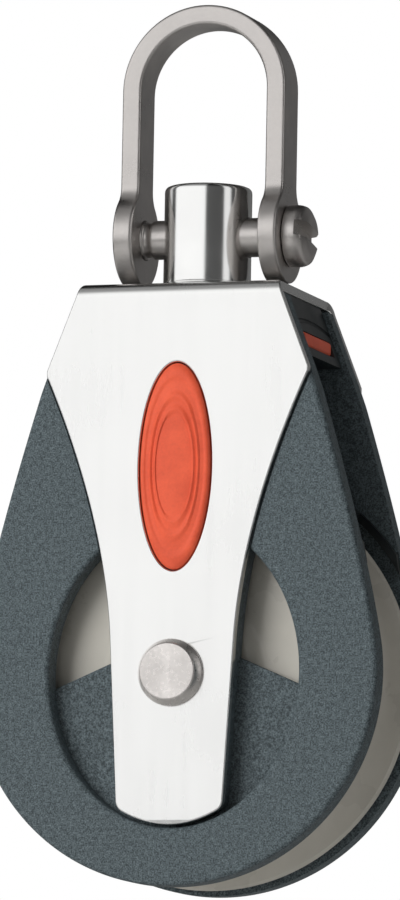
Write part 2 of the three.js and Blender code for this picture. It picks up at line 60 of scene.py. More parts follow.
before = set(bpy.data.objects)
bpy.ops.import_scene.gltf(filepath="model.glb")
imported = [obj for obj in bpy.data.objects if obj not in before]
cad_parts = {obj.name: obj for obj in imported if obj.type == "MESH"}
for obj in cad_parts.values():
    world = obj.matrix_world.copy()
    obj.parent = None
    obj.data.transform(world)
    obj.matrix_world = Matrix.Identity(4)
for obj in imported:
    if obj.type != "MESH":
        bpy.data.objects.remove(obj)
CAD_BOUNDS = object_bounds()

MM = 0.001
AXLE = sum(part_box("sheave"), Vector()) / 2
PIN = sum(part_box("shackle_pin"), Vector()) / 2
SIDES = {"front": -1, "rear": 1}
FULL_TURN = 2 * math.pi
ROUND_STEPS = 96
SMOOTH_ANGLE = math.radians(38)


# ---------------------------------------------------------------- settings


def length(name, description, default):
    """A size in metres that the sidebar shows in the scene's own unit."""
    return FloatProperty(
        name=name, description=description, default=default, unit="LENGTH", precision=5
    )


def colour(name, description, default):
    return FloatVectorProperty(
        name=name, description=description, default=default, subtype="COLOR", size=3, min=0, max=1
    )


def angle(name, description, degrees):
    return FloatProperty(
        name=name, description=description, default=math.radians(degrees), subtype="ANGLE"
    )


def power(name, description, default):
    return FloatProperty(name=name, description=description, default=default, unit="POWER")


class BlockSizes(bpy.types.PropertyGroup):
    """Sizes of the finished pieces that the frame's boxes don't give."""

    moulded_ease: length("Moulded edge", "Rounding of the cheeks' edges", 0.75 * MM)
    sheet_ease: length("Sheet edge", "Rounding of the strap's edges", 0.25 * MM)
    bar_ease: length("Bar edge", "Rounding of the shackle bar's edges", 0.55 * MM)
    sheet: length("Sheet", "Thickness of the strap", 1.5 * MM)
    sheet_bend: length("Sheet bend", "Outside radius of the strap's two bends", 2.0 * MM)
    strap_top_half: length("Strap top", "Half width of the strap's top", 15.6 * MM)
    strap_waist_half: length("Strap waist", "Half width of the strap above the axle", 9.9 * MM)
    strap_foot_half: length("Strap foot", "Half width of the strap's foot", 8.5 * MM)
    window_half_width: length("Window width", "Half width of a cheek's window", 19.8 * MM)
    window_half_height: length("Window height", "Half height of a cheek's window", 23.3 * MM)
    badge_relief: length("Badge relief", "Height of the pattern on the badges", 0.22 * MM)
    groove_depth: length("Groove depth", "Rim to the bottom of the rope groove", 6.1 * MM)
    flange_tip: length("Flange tip", "Thickness of the sheave's flanges at the rim", 0.96 * MM)
    pin_slot: length("Pin slot", "Width of the slot in the pin's head", 2.4 * MM)


class BlockColours(bpy.types.PropertyGroup):
    """Base colours of the finishes."""

    sheet_steel: colour("Polished steel", "Strap and swivel post", (0.86, 0.86, 0.85))
    bar_steel: colour("Satin steel", "Shackle and axle", (0.63, 0.60, 0.58))
    slate: colour("Slate", "Cheeks", (0.056, 0.073, 0.080))
    slate_speck: colour("Slate speck", "Glass fibre at the cheeks' surface", (0.21, 0.26, 0.28))
    dark: colour("Dark moulding", "Head block", (0.010, 0.013, 0.014))
    cream: colour("Cream", "Sheave", (0.66, 0.63, 0.56))
    white: colour("White", "Balls and washers", (0.80, 0.79, 0.75))
    red: colour("Red", "Badges and lock", (0.98, 0.135, 0.062))
    floor: colour("Floor", "Studio floor", (0.86, 0.86, 0.85))


class BlockStage(bpy.types.PropertyGroup):
    """Camera, lights and floor."""

    azimuth: angle("Azimuth", "Camera's turn to the right", 18.28)
    elevation: angle("Elevation", "Camera's height above level", -7.03)
    roll: angle("Roll", "Camera's lean to the left", 1.065)
    distance: length("Distance", "From the camera to the point it looks at", 1.2421)
    focal: FloatProperty(
        name="Focal length", description="Lens of the camera", default=330.3, unit="CAMERA"
    )
    floor_drop: length("Floor drop", "From the lowest point of the block to the floor", 0.20)
    key_power: power("Key", "Power of the front light", 7.5)
    fill_power: power("Fill", "Power of the side light", 0.5)
    top_power: power("Top", "Power of the overhead light", 1.0)


def sizes():
    return bpy.context.scene.block_sizes


def colours():
    return bpy.context.scene.block_colours


# ---------------------------------------------------------------- outlines


def arc(centre, half_width, half_height, start, end, steps):
    """Points on an ellipse, ends included. Angles are in degrees from +X."""
    points = []
    for i in range(steps + 1):
        turn = math.radians(start + (end - start) * i / steps)
        x = centre[0] + half_width * math.cos(turn)
        points.append((x, centre[1] + half_height * math.sin(turn)))
    return points


def oval(centre, half_width, half_height, steps=ROUND_STEPS):
    return arc(centre, half_width, half_height, 0, 360, steps)[:-1]


def bent(start, middle, end, steps=16):
    """Points on a curve from start, pulled towards middle, to end, without start itself."""
    points = []
    for i in range(1, steps + 1):
        t = i / steps
        near, mid, far = (1 - t) ** 2, 2 * t * (1 - t), t * t
        points.append(tuple(near * a + mid * b + far * c for a, b, c in zip(start, middle, end)))
    return points


def box_loop(left, right, low, high):
    return [(left, low), (right, low), (right, high), (left, high)]


def eased(points, ease, steps=4, closed=True):
    """The outline with each corner rounded, by no more than its edges allow."""
    result = []
    count = len(points)
    for i, point in enumerate(points):
        here = Vector(point)
        if not closed and i in (0, count - 1):
            result.append(tuple(here))
            continue
        before, after = Vector(points[i - 1]), Vector(points[(i + 1) % count])
        back = min(ease, (before - here).length * 0.45)
        ahead = min(ease, (after - here).length * 0.45)
        start = here + (before - here).normalized() * back
        end = here + (after - here).normalized() * ahead
        result.append(tuple(start))
        result += bent(start, here, end, steps)
    return result


def mirrored_outline(right_side):
    """A closed outline from its right side, listed from top to bottom."""
    left_side = [(-x, z) for x, z in reversed(right_side)]
    if abs(right_side[-1][0]) < 1e-9:
        left_side = left_side[1:]
    return right_side + left_side


# ---------------------------------------------------------------- mesh tools


def mesh_object(name, mesh):
    piece = bpy.data.objects.new(name, mesh)
    bpy.context.scene.collection.objects.link(piece)
    return piece


def mesh_from(name, work):
    """Turns a mesh being put together into an object with its faces out."""
    bmesh.ops.recalc_face_normals(work, faces=work.faces)
    mesh = bpy.data.meshes.new(name)
    work.to_mesh(mesh)
    work.free()
    return mesh_object(name, mesh)


def bake(piece):
    """Turns a curve, or a mesh with modifiers, into a plain closed mesh."""
    graph = bpy.context.evaluated_depsgraph_get()
    mesh = bpy.data.meshes.new_from_object(piece.evaluated_get(graph))
    work = bmesh.new()
    work.from_mesh(mesh)
    bmesh.ops.remove_doubles(work, verts=work.verts, dist=2e-7)
    bmesh.ops.dissolve_degenerate(work, edges=work.edges, dist=2e-7)
    bmesh.ops.recalc_face_normals(work, faces=work.faces)
    work.to_mesh(mesh)
    work.free()
    name = piece.name
    bpy.data.objects.remove(piece)
    return mesh_object(name, mesh)


def plate(name, loops, low, high, ease=0.0, bevel_steps=3):
    """A flat piece with rounded edges. The loops are drawn in X and Z, and it lies from low to
    high along Y. Loops inside the first one are holes."""
    curve = bpy.data.curves.new(name, "CURVE")
    curve.dimensions = "2D"
    curve.fill_mode = "BOTH"
    curve.extrude = (high - low) / 2 - ease
    curve.bevel_depth = ease
    curve.bevel_resolution = bevel_steps
    curve.offset = -ease
    for loop in loops:
        spline = curve.splines.new("POLY")
        spline.points.add(len(loop) - 1)
        for point, (x, z) in zip(spline.points, loop):
            point.co = (x, z, 0, 1)
        spline.use_cyclic_u = True
    piece = bake(mesh_object(name, curve))
    upright = Matrix.Rotation(math.pi / 2, 4, "X")
    piece.data.transform(Matrix.Translation((0, (low + high) / 2, 0)) @ upright)
    return piece


def prism(name, loop, low, high, axis="Y"):
    """A sharp-edged bar, for cutting with, along one of the three axes."""
    piece = plate(name, [loop], low, high)
    if axis == "X":
        piece.data.transform(Matrix.Rotation(math.pi / 2, 4, "Z"))
        piece.data.transform(Matrix.Scale(-1, 4, (1, 0, 0)))
        piece.data.flip_normals()
    if axis == "Z":
        piece.data.transform(Matrix.Rotation(-math.pi / 2, 4, "X"))
        piece.data.transform(Matrix.Scale(-1, 4, (0, 0, 1)))
        piece.data.flip_normals()
    return piece


def turned(name, profile, axis="Y", steps=ROUND_STEPS, centre=(0, 0, 0)):
    """A round piece from a profile of (radius, distance along the axis). The profile starts and
    ends on the axis, or closes on itself."""
    work = bmesh.new()
    rings = []
    for radius, along in profile:
        if radius < 1e-9:
            rings.append([work.verts.new((0, along, 0))])
            continue
        ring = []
        for i in range(steps):
            turn = FULL_TURN * i / steps
            ring.append(work.verts.new((radius * math.cos(turn), along, radius * math.sin(turn))))
        rings.append(ring)
    closed = profile[0][0] > 1e-9
    pairs = list(zip(rings, rings[1:] + rings[:1])) if closed else list(zip(rings, rings[1:]))
    for ring, following in pairs:
        for i in range(steps):
            j = (i + 1) % steps
            corners = [ring[i % len(ring)], ring[j % len(ring)]]
            corners += [following[j % len(following)], following[i % len(following)]]
            distinct = list(dict.fromkeys(corners))
            if len(distinct) > 2:
                work.faces.new(distinct)
    if axis == "X":
        bmesh.ops.rotate(work, verts=work.verts, matrix=Matrix.Rotation(-math.pi / 2, 3, "Z"))
    if axis == "Z":
        bmesh.ops.rotate(work, verts=work.verts, matrix=Matrix.Rotation(math.pi / 2, 3, "X"))
    bmesh.ops.translate(work, verts=work.verts, vec=Vector(centre))
    return mesh_from(name, work)


def carve(piece, tool, operation="DIFFERENCE"):
    """Cuts the tool out of the piece, or joins it on, and removes the tool."""
    step = piece.modifiers.new("carve", "BOOLEAN")
    step.object = tool
    step.operation = operation
    step.solver = "EXACT"
    result = bake(piece)
    bpy.data.objects.remove(tool)
    return result


def drill(piece, radius, low, high, axis="Y", centre=(0, 0, 0), steps=48):
    bar = [(0, low), (radius, low), (radius, high), (0, high)]
    return carve(piece, turned("drill", bar, axis, steps, centre))


def swept(name, stations):
    """A closed skin over rings of points, one ring a station, with both ends capped."""
    work = bmesh.new()
    rings = [[work.verts.new(point) for point in ring] for ring in stations]
    for ring, following in zip(rings, rings[1:]):
        for i in range(len(ring)):
            j = (i + 1) % len(ring)
            work.faces.new((ring[i], ring[j], following[j], following[i]))
    work.faces.new(rings[0])
    work.faces.new(rings[-1])
    return mesh_from(name, work)


def finished(piece, body, slot, material, *nodes):
    """Shades the piece, gives it its material and hands it to the frame."""
    mesh = piece.data
    mesh.shade_smooth()
    mesh.set_sharp_from_angle(angle=SMOOTH_ANGLE)
    step = piece.modifiers.new("face weighted shading", "WEIGHTED_NORMAL")
    step.keep_sharp = True
    mesh.materials.clear()
    mesh.materials.append(material)
    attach(piece, body)
    if nodes:
        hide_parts(*nodes)
    return piece


def repaint(node, material):
    """Gives a frame node that stays in view its finished material."""
    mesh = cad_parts[node].data
    mesh.materials.clear()
    mesh.materials.append(material)
    mesh.shade_smooth()
    mesh.set_sharp_from_angle(angle=SMOOTH_ANGLE)


# ---------------------------------------------------------------- materials


class Finish:
    """A material being put together: one principled shader and the textures that feed it."""

    def __init__(self, name, base, metallic, roughness):
        self.material = bpy.data.materials.new(name)
        self.material.use_nodes = True
        self.tree = self.material.node_tree
        self.shader = self.tree.nodes["Principled BSDF"]
        self.shader.inputs["Base Color"].default_value = (*base, 1)
        self.shader.inputs["Metallic"].default_value = metallic
        self.shader.inputs["Roughness"].default_value = roughness
        self.place = self.add("ShaderNodeTexCoord").outputs["Object"]

    def add(self, kind, **settings):
        node = self.tree.nodes.new(kind)
        for name, value in settings.items():
            setattr(node, name, value)
        return node

    def join(self, source, target):
        self.tree.links.new(source, target)

    def noise(self, scale, detail=2.0, stretch=(1, 1, 1), roughness=0.5):
        """Noise with features of about one over scale metres, drawn out along an axis."""
        mapping = self.add("ShaderNodeMapping")
        mapping.inputs["Scale"].default_value = stretch
        self.join(self.place, mapping.inputs["Vector"])
        texture = self.add("ShaderNodeTexNoise")
        texture.inputs["Scale"].default_value = scale
        texture.inputs["Detail"].default_value = detail
        texture.inputs["Roughness"].default_value = roughness
        self.join(mapping.outputs["Vector"], texture.inputs["Vector"])
        return texture.outputs["Fac"]

    def ramp(self, value, low, high, low_at=0.0, high_at=1.0):
        """Colours, or greys, between two values of a texture."""
        ramp = self.add("ShaderNodeValToRGB")
        ramp.color_ramp.elements[0].position = low_at
        ramp.color_ramp.elements[1].position = high_at
        ramp.color_ramp.elements[0].color = (*low, 1)
        ramp.color_ramp.elements[1].color = (*high, 1)
        self.join(value, ramp.inputs["Fac"])
        return ramp.outputs["Color"]

    def span(self, value, low, high, low_at=0.25, high_at=0.75):
        """A plain number between low and high."""
        reach = self.add("ShaderNodeMapRange")
        ends = {"From Min": low_at, "From Max": high_at, "To Min": low, "To Max": high}
        for name, number in ends.items():
            reach.inputs[name].default_value = number
        self.join(value, reach.inputs["Value"])
        return reach.outputs["Result"]

    def sum(self, first, second, share):
        """first plus a share of second."""
        node = self.add("ShaderNodeMath", operation="MULTIPLY_ADD")
        self.join(second, node.inputs[0])
        node.inputs[1].default_value = share
        self.join(first, node.inputs[2])
        return node.outputs["Value"]

    def bump(self, height, strength, distance):
        node = self.add("ShaderNodeBump")
        node.inputs["Strength"].default_value = strength
        node.inputs["Distance"].default_value = distance
        self.join(height, node.inputs["Height"])
        self.join(node.outputs["Normal"], self.shader.inputs["Normal"])

    def colour(self, *ramp):
        """Colours the surface by a ramp between two values of a texture."""
        self.join(self.ramp(*ramp), self.shader.inputs["Base Color"])

    def roughness(self, *span):
        """Roughens the surface between two values, as a texture goes from low to high."""
        self.join(self.span(*span), self.shader.inputs["Roughness"])


def shaded(base, factor):
    return tuple(min(1, channel * factor) for channel in base)


def polished_sheet():
    """Polished stainless sheet: faint vertical polishing lines and soft smears."""
    base = colours().sheet_steel
    finish = Finish("polished_sheet", base, 1.0, 0.22)
    lines = finish.noise(1400, 3, (1, 1, 0.03))
    smears = finish.noise(55, 4)
    finish.roughness(finish.sum(smears, lines, 0.35), 0.20, 0.30, 0.45, 0.9)
    finish.colour(smears, shaded(base, 0.965), shaded(base, 1.02), 0.3, 0.7)
    finish.bump(finish.sum(lines, finish.noise(5200, 2), 0.5), 0.10, 0.01 * MM)
    return finish.material


def turned_post():
    """Polished stainless bar with the turning marks running round it."""
    base = colours().sheet_steel
    finish = Finish("turned_post", base, 1.0, 0.14)
    marks = finish.noise(2200, 2, (0.03, 0.03, 1))
    smears = finish.noise(120, 3)
    finish.roughness(smears, 0.11, 0.2)
    finish.colour(smears, shaded(base, 0.93), base, 0.35, 0.7)
    finish.bump(marks, 0.12, 0.01 * MM)
    return finish.material


def satin_bar():
    """Stamped and tumbled stainless: fine pits and worn, brighter patches."""
    base = colours().bar_steel
    finish = Finish("satin_bar", base, 1.0, 0.34)
    pits = finish.noise(2600, 3)
    wear = finish.noise(210, 4)
    finish.roughness(finish.sum(wear, pits, 0.3), 0.27, 0.44, 0.45, 0.9)
    finish.colour(wear, shaded(base, 0.86), shaded(base, 1.12), 0.3, 0.72)
    finish.bump(pits, 0.25, 0.03 * MM)
    return finish.material


def turned_face():
    """Lathe-turned stainless, whose fine rings fan the light out from the centre."""
    base = shaded(colours().bar_steel, 1.25)
    finish = Finish("turned_face", base, 1.0, 0.3)
    finish.shader.inputs["Anisotropic"].default_value = 0.8
    tangent = finish.add("ShaderNodeTangent", direction_type="RADIAL", axis="Y")
    finish.join(tangent.outputs["Tangent"], finish.shader.inputs["Tangent"])
    marks = finish.noise(1800, 2)
    finish.roughness(marks, 0.24, 0.36)
    finish.colour(finish.noise(300, 3), shaded(base, 0.92), base, 0.35, 0.65)
    return finish.material


def grained_slate():
    """Glass-filled nylon with a spark-eroded grain and pale fibre specks."""
    base, speck = colours().slate, colours().slate_speck
    finish = Finish("grained_slate", base, 0.0, 0.5)
    grain = finish.noise(4300, 2)
    coarse = finish.noise(1500, 2)
    mixed = finish.sum(grain, coarse, 0.4)
    finish.shader.inputs["Specular IOR Level"].default_value = 0.3
    finish.colour(mixed, shaded(base, 0.8), speck, 0.55, 1.15)
    finish.roughness(grain, 0.42, 0.62)
    finish.bump(mixed, 0.5, 0.09 * MM)
    return finish.material


def dark_nylon():
    """Smooth near-black moulding with a soft sheen."""
    base = colours().dark
    finish = Finish("dark_nylon", base, 0.0, 0.38)
    grain = finish.noise(1900, 2)
    cloud = finish.noise(160, 3)
    patches = finish.sum(cloud, grain, 0.4)
    finish.colour(patches, shaded(base, 0.8), shaded(base, 1.7), 0.5, 0.95)
    finish.roughness(cloud, 0.3, 0.46)
    finish.bump(grain, 0.22, 0.04 * MM)
    return finish.material


def acetal(name, base, grime):
    """Smooth moulded acetal, a little duller where it has been handled."""
    finish = Finish(name, base, 0.0, 0.28)
    cloud = finish.noise(130, 4)
    fine = finish.noise(1500, 2)
    finish.colour(cloud, shaded(base, grime), base, 0.3, 0.65)
    finish.roughness(cloud, 0.24, 0.38)
    finish.bump(fine, 0.06, 0.02 * MM)
    return finish.material


def glossy_red():
    """Orange-red moulded plastic with a soft gloss and faint flow marks."""
    base = colours().red
    finish = Finish("glossy_red", base, 0.0, 0.34)
    finish.shader.inputs["Specular IOR Level"].default_value = 0.3
    finish.shader.inputs["Coat Weight"].default_value = 0.08
    finish.shader.inputs["Coat Roughness"].default_value = 0.2
    cloud = finish.noise(260, 3)
    fine = finish.noise(2600, 2)
    mixed = finish.sum(cloud, fine, 0.4)
    finish.colour(mixed, shaded(base, 0.86), shaded(base, 1.12), 0.5, 0.92)
    finish.roughness(fine, 0.3, 0.42)
    finish.bump(fine, 0.12, 0.03 * MM)
    return finish.material


def material(name, maker, *details):
    """The named material, made the first time that it is asked for.

    The names differ from those of the frame's own materials, which come in with it.
    """
    found = bpy.data.materials.get(name)
    return found or maker(*details)


def steel_bar_finish():
    return material("satin_bar", satin_bar)


def red_finish():
    return material("glossy_red", glossy_red)


def white_finish():
    return material("white_moulding", acetal, "white_moulding", colours().white, 0.95)


def cream_finish():
    return material("cream_moulding", acetal, "cream_moulding", colours().cream, 0.9)


# ---------------------------------------------------------------- strap and cheeks

SHOULDER_DROP = 13.32 * MM  # strap's top to the upper end of its widest part
SHOULDER_FLAT = 0.8 * MM
SHOULDER_LEAN = 0.45  # lean of the edge just below the widest part
WAIST_HEIGHT = 5.8 * MM  # above the axle
WAIST_SHARE = 0.457  # where the long curve's tangents meet
FOOT_HEIGHT = -20.4 * MM  # foot's corners, from the axle
FOOT_EASE = 1.2 * MM
FOOT_BELLY = 4.4 * MM
BADGE_GAP = 0.2 * MM
AXLE_BORE = 3.6 * MM
NECK_BORE = 4.1 * MM


def strap_half_at(height):
    """Half width of the strap's sloping head at a height in the frame."""
    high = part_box("strap")[1]
    share = (high.z - height) / SHOULDER_DROP
    return sizes().strap_top_half + (high.x - sizes().strap_top_half) * share


def strap_edge(margin=0.0):
    """Right edge of one leg, from the end of the bend at the top to the middle of the foot."""
    s = sizes()
    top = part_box("strap")[1].z
    shoulder_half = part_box("strap")[1].x + margin
    shoulder = top - SHOULDER_DROP
    shoulder_foot = shoulder - SHOULDER_FLAT
    waist = (s.strap_waist_half + margin, AXLE.z + WAIST_HEIGHT)
    pull_height = waist[1] + (shoulder_foot - waist[1]) * WAIST_SHARE
    pull = (shoulder_half - SHOULDER_LEAN * (shoulder_foot - pull_height), pull_height)
    foot_half = s.strap_foot_half + margin
    low = AXLE.z + FOOT_HEIGHT - margin
    corner_start = (foot_half, low + FOOT_EASE)
    corner_end = (foot_half - FOOT_EASE, low - FOOT_EASE / 2)
    left_end = (-corner_end[0], corner_end[1])
    bend_end = top - s.sheet_bend
    lean = (shoulder_half - margin - s.strap_top_half) / SHOULDER_DROP
    points = [(s.strap_top_half + margin + lean * s.sheet_bend, bend_end)]
    points += [(shoulder_half, shoulder), (shoulder_half, shoulder_foot)]
    points += bent(points[-1], pull, waist, 40)
    points += [corner_start] + bent(corner_start, (foot_half, low), corner_end, 8)
    belly = bent(corner_end, (0, low - FOOT_BELLY), left_end, 40)
    return points + belly[:20]


def strap_leg(margin):
    """Closed outline of one leg that also reaches above the top, for cutting pockets with."""
    edge = strap_edge(margin)
    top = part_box("strap")[1].z + sizes().sheet
    return mirrored_outline([(sizes().strap_top_half + margin, top)] + edge)


def fold_sheet(piece):
    """Bends a flat sheet lying in X and Y, outer face up, over the head and down both sides."""
    s = sizes()
    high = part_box("strap")[1]
    flat = high.y - s.sheet_bend
    middle = s.sheet_bend - s.sheet / 2
    quarter = middle * math.pi / 2
    work = bmesh.new()
    work.from_mesh(piece.data)
    for side in (-1, 1):
        for i in range(9):
            place = side * (flat + quarter * i / 8)
            everything = work.verts[:] + work.edges[:] + work.faces[:]
            bmesh.ops.bisect_plane(
                work, geom=everything, dist=1e-8, plane_co=(0, place, 0), plane_no=(0, 1, 0))
    for vertex in work.verts:
        side = 1 if vertex.co.y >= 0 else -1
        along = abs(vertex.co.y)
        radius = middle + vertex.co.z
        if along <= flat:
            y, z = along, high.z - s.sheet_bend + radius
        elif along < flat + quarter:
            turn = (along - flat) / middle
            y = flat + radius * math.sin(turn)
            z = high.z - s.sheet_bend + radius * math.cos(turn)
        else:
            y, z = flat + radius, high.z - s.sheet_bend - (along - flat - quarter)
        vertex.co = (vertex.co.x, side * y, z)
    bmesh.ops.recalc_face_normals(work, faces=work.faces)
    work.to_mesh(piece.data)
    work.free()


class BLOCK_OT_strap(bpy.types.Operator):
    """Polished sheet folded over the head, carrying the axle in both legs"""

    bl_idname = "block.strap"
    bl_label = "Strap"

    def execute(self, context):
        s = sizes()
        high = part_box("strap")[1]
        flat = high.y - s.sheet_bend
        quarter = (s.sheet_bend - s.sheet / 2) * math.pi / 2
        start = flat + quarter

        def along(height):
            return start + (high.z - s.sheet_bend) - height

        right = [(x, along(z)) for x, z in strap_edge()]
        half = [(s.strap_top_half, 0.0), (s.strap_top_half, flat)] + right
        near = mirrored_outline(half)
        leg = [(x, y) for x, y in near if y > 0]
        outline = leg + [(-x, -y) for x, y in leg]
        badge_low, badge_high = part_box("front_badge")
        badge_half = (badge_high - badge_low) / 2
        badge_at = along((badge_high.z + badge_low.z) / 2)
        loops = [outline, oval((0, 0), NECK_BORE, NECK_BORE)]
        for side in (-1, 1):
            loops.append(oval(
                (0, side * badge_at), badge_half.x + BADGE_GAP, badge_half.z + BADGE_GAP))
            loops.append(oval((0, side * along(AXLE.z)), AXLE_BORE, AXLE_BORE))
        sheet = plate("strap_finish", loops, -s.sheet / 2, s.sheet / 2, s.sheet_ease)
        sheet.data.transform(Matrix.Rotation(-math.pi / 2, 4, "X"))
        fold_sheet(sheet)
        finish = material("polished_sheet", polished_sheet)
        finished(sheet, "block", "polished_steel", finish, "strap")
        return {"FINISHED"}


CHEEK_TANGENT = 10  # degrees above level where the round foot ends
CHEEK_BULGE = 14 * MM
CHEEK_TOP_HALF = 21.95 * MM
CHEEK_CORNER = 43 * MM  # above the axle
BRIDGE_INSET = 0.3 * MM  # strap's seat inside the strap's edge
PLATE_THICKNESS = 3.66 * MM
FLOOR_RECESS = 3.4 * MM
FLOOR_LAP = 1.5 * MM
FLOOR_SHOULDER = -1.85 * MM
FLOOR_RISE = 0.43
FLOOR_EASE = 0.25 * MM
BRIDGE_EASE = 0.2 * MM
CORNER_EASE = 0.5 * MM
POCKET_GAP = 0.35 * MM
SEAT_GAP = 0.06 * MM


def cheek_outline():
    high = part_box("rear_cheek")[1]
    radius = high.x
    tangent = math.radians(CHEEK_TANGENT)
    foot = (radius * math.cos(tangent), AXLE.z + radius * math.sin(tangent))
    pull = (foot[0] - CHEEK_BULGE * math.sin(tangent), foot[1] + CHEEK_BULGE * math.cos(tangent))
    corner = (CHEEK_TOP_HALF, AXLE.z + CHEEK_CORNER)
    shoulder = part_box("strap")[1].z - SHOULDER_DROP
    right = [(strap_half_at(high.z), high.z), (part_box("strap")[1].x, shoulder)]
    right += eased([right[-1], corner, pull], CORNER_EASE, 4, closed=False)[1:-1]
    right += bent(right[-1], pull, foot, 40)
    right += arc((0, AXLE.z), radius, radius, CHEEK_TANGENT, -90, 72)[1:]
    return mirrored_outline(right)


def floor_outline():
    """The lower part of the window's oval, lapped behind its edge, under a shallow ridge."""
    half_width = sizes().window_half_width + FLOOR_LAP
    half_height = sizes().window_half_height + FLOOR_LAP
    edge = FLOOR_SHOULDER - FLOOR_RISE * FLOOR_LAP
    start = math.degrees(math.asin(edge / half_height))
    ridge = FLOOR_SHOULDER + FLOOR_RISE * sizes().window_half_width
    lower = arc((0, AXLE.z), half_width, half_height, start, -180 - start, 72)
    return lower + [(0, AXLE.z + ridge)]


def span_on(side, near, far):
    """Low and high Y of a layer between two depths on the front or the rear."""
    return (near, far) if side > 0 else (-far, -near)


def bridge_outline():
    """Part of the strap's seat that crosses the window."""
    half_height = sizes().window_half_height + FLOOR_LAP
    return [p for p in strap_leg(-BRIDGE_INSET) if p[1] < AXLE.z + half_height]


def make_cheek(label, side):
    s = sizes()
    low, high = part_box("rear_cheek")
    inner, floor_inner = high.y - PLATE_THICKNESS, low.y
    floor_outer = high.y - FLOOR_RECESS
    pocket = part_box("strap")[1].y - s.sheet - SEAT_GAP
    window = oval((0, AXLE.z), s.window_half_width, s.window_half_height, 120)
    name = f"{label}_cheek_finish"
    blank = span_on(side, inner - MM, high.y)
    cheek = plate(name, [cheek_outline(), window], *blank, s.moulded_ease)
    # The inner face is planed flat, which leaves its edges sharp.
    extent = box_loop(2 * low.x, 2 * high.x, low.z - MM, high.z + MM)
    cheek = carve(cheek, prism("plane", extent, *span_on(side, inner - 2 * MM, inner)))
    recess = prism("pocket", strap_leg(POCKET_GAP), *span_on(side, pocket, high.y + MM))
    cheek = carve(cheek, recess)
    depth = span_on(side, floor_inner, floor_outer)
    floor = plate("floor", [floor_outline()], *depth, FLOOR_EASE)
    cheek = carve(cheek, floor, "UNION")
    depth = span_on(side, floor_inner, pocket)
    bridge = plate("bridge", [bridge_outline()], *depth, BRIDGE_EASE)
    cheek = carve(cheek, bridge, "UNION")
    cheek = drill(cheek, AXLE_BORE, *span_on(side, 0, high.y + MM), centre=(0, 0, AXLE.z))
    finish = material("grained_slate", grained_slate)
    finished(cheek, "block", "slate_nylon", finish, f"{label}_cheek")


class BLOCK_OT_cheeks(bpy.types.Operator):
    """Two grained side plates, each with an oval window that is floored in its lower half"""

    bl_idname = "block.cheeks"
    bl_label = "Cheeks"

    def execute(self, context):
        for label, side in SIDES.items():
            make_cheek(label, side)
        return {"FINISHED"}


# ---------------------------------------------------------------- head block and lock

THROAT_RADIUS = 33.4 * MM
ARCH_THICKNESS = 1.2 * MM
ARCH_END = 49  # degrees above level where the full width of the arch stops
RAIL_END = 30  # degrees above level where the two rails beside the rope stop
RAIL_TAPER = 5  # degrees that a rail's outer face stops short of its inner one
RAIL_WIDTH = 1.2 * MM
RECESS_HEIGHT = 14 * MM
COLUMN_HALF = 9.6 * MM
HEAD_INSET = 0.8 * MM
HEAD_EASE = 0.5 * MM
SLOT_LIP = 1.4 * MM
SLOT_HEIGHT = 2.5 * MM
SLOT_HALF = 7.15 * MM
BROW_RISE = 3.6 * MM  # groove over the slot's mouth, at its middle
BROW_ARCH = 0.9 * MM
BROW_RADIUS = 0.42 * MM
BROW_INSET = 0.7 * MM  # its ends, from the cheeks
NUT_GAP = 0.5 * MM
MOUTH_EASE = 0.5 * MM


def head_outline():
    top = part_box("head_block")[1].z
    arch = THROAT_RADIUS + ARCH_THICKNESS
    base = AXLE.z + arch + RECESS_HEIGHT
    right = [(strap_half_at(top) - HEAD_INSET, top), (strap_half_at(base) - HEAD_INSET, base)]
    foot = (COLUMN_HALF, AXLE.z + THROAT_RADIUS)
    right += eased([right[-1], (COLUMN_HALF, base), foot], MM, 4, False)[1:]
    return mirrored_outline(right)


def arch_outline():
    """The arch over the sheave and its rails, which taper to an edge at both ends."""
    arch = THROAT_RADIUS + ARCH_THICKNESS
    right = arc((0, AXLE.z), arch, arch, 90, RAIL_END + RAIL_TAPER, 40)[1:]
    right += arc((0, AXLE.z), THROAT_RADIUS, THROAT_RADIUS, RAIL_END, 90, 40)[:-1]
    return [(0, AXLE.z + arch)] + right + [(0, AXLE.z + THROAT_RADIUS)] + [
        (-x, z) for x, z in reversed(right)]


def rope_gap(side):
    """The space between the arch's rails, below the end of its full width."""
    reach = THROAT_RADIUS + ARCH_THICKNESS + MM
    tip = (reach * math.cos(math.radians(ARCH_END)), reach * math.sin(math.radians(ARCH_END)))
    wedge = [(0, 0), (reach, 0), (reach, tip[1]), tip]
    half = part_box("head_block")[1].y - RAIL_WIDTH
    return prism("gap", [(side * x, AXLE.z + z) for x, z in wedge], -half, half)


def side_face_at(height, side):
    return side * (strap_half_at(height) - HEAD_INSET)


def brow_tool(side):
    """A thin bar bowed over the slot's mouth, to cut a groove in the side face."""
    base = AXLE.z + THROAT_RADIUS + ARCH_THICKNESS + RECESS_HEIGHT + SLOT_LIP
    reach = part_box("head_block")[1].y - BROW_INSET
    rings = []
    for i in range(25):
        share = -1 + 2 * i / 24
        y = reach * share
        z = base + BROW_RISE + BROW_ARCH * (1 - share * share)
        x = side_face_at(z, side)
        turns = [FULL_TURN * k / 12 for k in range(12)]
        round_bar = [(BROW_RADIUS * math.cos(t), BROW_RADIUS * math.sin(t)) for t in turns]
        rings.append([(x + across, y, z + up) for across, up in round_bar])
    return swept("brow", rings)


